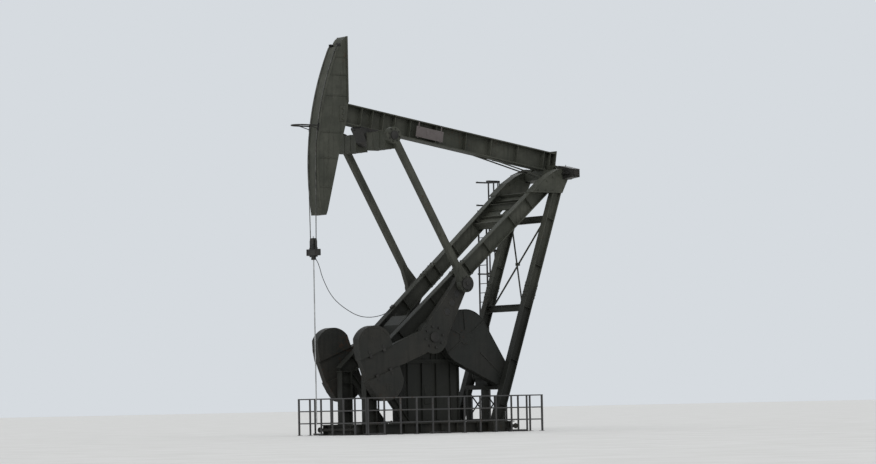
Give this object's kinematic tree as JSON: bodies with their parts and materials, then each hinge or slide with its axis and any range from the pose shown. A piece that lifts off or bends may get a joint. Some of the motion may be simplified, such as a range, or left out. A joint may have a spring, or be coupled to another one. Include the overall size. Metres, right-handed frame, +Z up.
{
  "type": "beam pumping unit (pumpjack)",
  "caption": "Front-mounted beam pumping unit: rear-pivoted walking beam on a leaning A-frame, horsehead, yoke, pitmans, cranks with counterweights, gearbox, skid, ladder and guard fence.",
  "frame": {"origin": "on the ground straight below the crankshaft, on the underside of a cross member of the skid", "axes": "+X to the rear of the unit, away from the well; +Y to the far side, away from the belt guard; +Z up"},
  "size_m": [10.1797, 3.844, 12.411],
  "materials": {
    "olive_paint": "satin, weathered",
    "base_paint": "satin, dusty",
    "counterweight_paint": "rough cast, rust stained",
    "dark_steel": "oily",
    "rail_paint": "worn",
    "wire_rope": "stranded",
    "polished_steel": "polished",
    "motor_paint": "satin",
    "cable_rubber": "matt"
  },
  "bodies": {
    "frame": {"skid_runner_near": "base_paint", "skid_runner_far": "base_paint", "skid_cross_members": "base_paint", "front_post_near": "olive_paint", "front_post_far": "olive_paint", "stand_braces": "olive_paint", "front_leg_near": "olive_paint", "front_leg_far": "olive_paint", "rear_leg_near": "olive_paint", "rear_leg_far": "olive_paint", "leg_head_near": "olive_paint", "leg_head_far": "olive_paint", "leg_ties": "olive_paint", "rear_x_brace": "olive_paint", "saddle_bearing_near": "dark_steel", "saddle_bearing_far": "dark_steel", "gearbox_pedestal": "olive_paint", "gearbox": "olive_paint", "belt_guard": "base_paint", "motor": "motor_paint", "motor_platform": "olive_paint", "ladder": "rail_paint", "ladder_cage": "rail_paint", "fence_front": "rail_paint", "fence_rear": "rail_paint", "fence_near": "rail_paint", "fence_far": "rail_paint", "load_cell_cable": "cable_rubber"},
    "walking_beam": {"walking_beam": "olive_paint", "horsehead": "olive_paint", "wireline_keeper": "dark_steel", "saddle": "olive_paint", "saddle_shaft": "dark_steel", "saddle_straps": "olive_paint", "yoke_bearing": "dark_steel", "head_wires": "wire_rope"},
    "yoke": {"cross_yoke": "olive_paint", "pitman_near": "olive_paint", "pitman_far": "olive_paint"},
    "cranks": {"crankshaft": "dark_steel", "crank_near": "counterweight_paint", "crank_far": "counterweight_paint", "counterweight_near": "counterweight_paint", "counterweight_far": "counterweight_paint"},
    "rod": {"bridle_wires": "wire_rope", "carrier_bar": "dark_steel", "rod_clamp": "dark_steel", "polished_rod": "polished_steel"}
  },
  "joints": [
    {"name": "crank_turn", "type": "hinge", "parent": "frame", "child": "cranks", "pos_m": [0, 0, 3], "axis": [0, -1, 0], "range_deg": [-123.3, 44.7]},
    {"name": "beam_rock", "type": "hinge", "parent": "frame", "child": "walking_beam", "pos_m": [5.456, 0, 8.237], "axis": [0, 1, 0], "range_deg": [-26.2, 9.5]},
    {"name": "rod_lift", "type": "slide", "parent": "frame", "child": "rod", "axis": [0, 0, 1], "range_m": [-4.156, 1.507]},
    {"name": "pitman_swing", "type": "hinge", "parent": "walking_beam", "child": "yoke", "pos_m": [-1.55227, 0, 9.24952], "axis": [0, -1, 0], "range_deg": [-33.6, 0]}
  ],
  "couplings": [
    {"joint": "beam_rock", "follows": "crank_turn", "ratio": 0.2123},
    {"joint": "rod_lift", "follows": "crank_turn", "m_per_rad": 1.9311}
  ]
}
